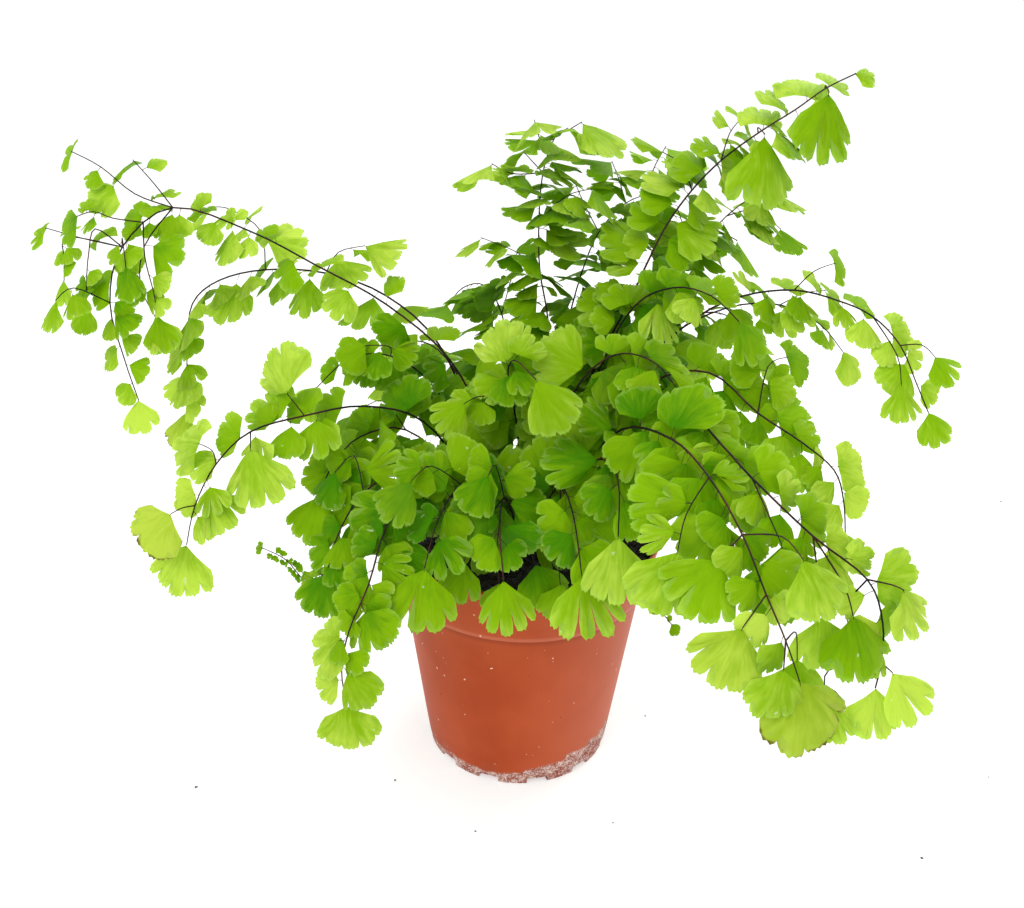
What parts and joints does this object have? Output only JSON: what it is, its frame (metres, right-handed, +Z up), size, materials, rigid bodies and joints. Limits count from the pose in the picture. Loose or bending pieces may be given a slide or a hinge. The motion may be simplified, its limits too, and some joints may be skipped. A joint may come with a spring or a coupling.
{
  "type": "potted fern",
  "caption": "Maidenhair fern with arching fronds of fan-shaped leaflets, growing in a flared round plastic nursery pot filled with dark potting soil.",
  "frame": {"origin": "centre of the pot's underside, on the surface it stands on", "axes": "+Z up through the middle of the pot; -Y towards the side the plant is seen from; +X to that viewer's right"},
  "size_m": [0.3524, 0.2638, 0.2914],
  "materials": {
    "pot": "smooth satin terracotta-coloured plastic",
    "soil": "dark moist peat crumbs",
    "leaf": "soft satin fresh green leaf"
  },
  "bodies": {
    "root": {"pot": "pot", "soil": "soil", "frond_left_far": "leaf", "frond_left_second": "leaf", "frond_left_low": "leaf", "frond_left_front": "leaf", "frond_left_hanging": "leaf", "frond_left_middle": "leaf", "frond_left_inner": "leaf", "frond_front_left": "leaf", "frond_front_centre": "leaf", "frond_front_right": "leaf", "frond_front_far_right": "leaf", "frond_right_front": "leaf", "frond_right_cascade": "leaf", "frond_right_low": "leaf", "frond_right_inner": "leaf", "frond_right_far": "leaf", "frond_right_back": "leaf", "frond_top_right": "leaf", "frond_top_right_back": "leaf", "frond_top_middle": "leaf", "frond_top_left": "leaf", "frond_top_middle_back": "leaf", "frond_right_upper_back": "leaf", "frond_centre_right": "leaf", "frond_centre_front": "leaf", "frond_back_left": "leaf", "frond_back_middle": "leaf", "frond_back_right": "leaf", "frond_back_far_right": "leaf"}
  },
  "joints": []
}
